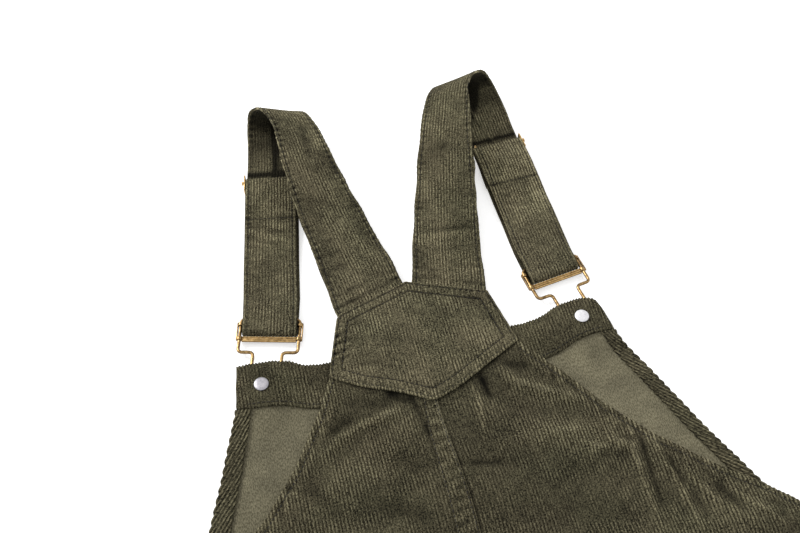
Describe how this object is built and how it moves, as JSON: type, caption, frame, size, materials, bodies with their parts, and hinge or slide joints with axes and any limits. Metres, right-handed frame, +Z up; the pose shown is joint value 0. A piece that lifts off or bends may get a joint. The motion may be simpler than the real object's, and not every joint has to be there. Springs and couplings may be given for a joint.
{
  "type": "bib overalls",
  "caption": "Corduroy bib overalls laid flat with the back up: pointed back yoke, wide straps looped over and through sliders to wire buckles hooked under the bib, long straight legs.",
  "frame": {"origin": "on the surface the garment lies on, under the middle of its box", "axes": "+X across the garment to the right as it lies back side up, +Y from the leg hems towards the strap loops, +Z up from the surface"},
  "size_m": [0.5282, 1.4655, 0.0433],
  "materials": {
    "corduroy": "olive green ribbed cotton pile",
    "plain_cloth": "wrong side of the corduroy: plain olive weave",
    "brass": "antique brass plate",
    "steel": "bright nickel"
  },
  "bodies": {
    "root": {"bib_band": "corduroy", "bib_side_hem_left": "corduroy", "bib_side_hem_right": "corduroy", "back_left": "corduroy", "back_right": "corduroy", "back_yoke": "corduroy", "strap_left": "corduroy", "strap_right": "corduroy", "front_bib": "plain_cloth", "front_leg_left": "plain_cloth", "front_leg_right": "plain_cloth", "buckle_wire_left": "brass", "buckle_bar_left": "brass", "slider_frame_left": "brass", "slider_rod_left": "brass", "bib_button_left": "brass", "buckle_wire_right": "brass", "buckle_bar_right": "brass", "slider_frame_right": "brass", "slider_rod_right": "brass", "bib_button_right": "brass", "tack_left": "steel", "tack_right": "steel"}
  },
  "joints": []
}
